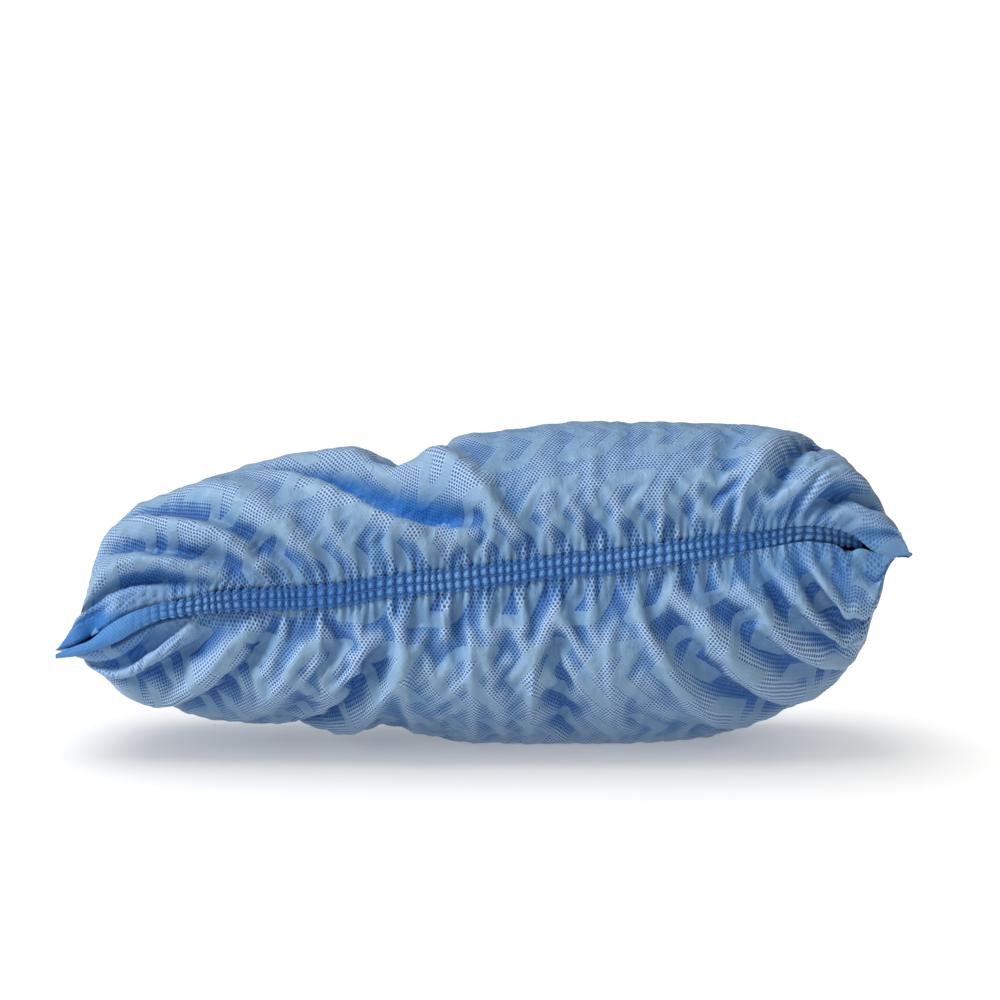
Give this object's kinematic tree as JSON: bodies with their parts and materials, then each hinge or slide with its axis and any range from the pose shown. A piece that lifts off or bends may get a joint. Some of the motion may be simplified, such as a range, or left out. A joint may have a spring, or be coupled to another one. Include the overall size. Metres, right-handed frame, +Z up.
{
  "type": "disposable shoe cover",
  "caption": "Disposable overshoe of blue nonwoven fabric, a pouch with an elastic gathered opening and a printed non-skid tread, lying on its side.",
  "frame": {"origin": "on the floor, under the middle of the cover's bounding box", "axes": "+X from the toe end to the heel end, +Y from the gathered opening to the sole fold, +Z up from the lobe it lies on"},
  "size_m": [0.3202, 0.0892, 0.1241],
  "materials": {
    "nonwoven_fabric": "spunbond polypropylene with pressed bond points and a pale rubbery print",
    "elastic_hem": "the same fabric gathered on elastic by rows of stitches",
    "overlock_seam": "overlocked thread over the doubled edge"
  },
  "bodies": {
    "root": {"cover_shell": "nonwoven_fabric", "upper_hem": "elastic_hem", "lower_hem": "elastic_hem", "toe_seam": "overlock_seam", "heel_seam": "overlock_seam"}
  },
  "joints": []
}
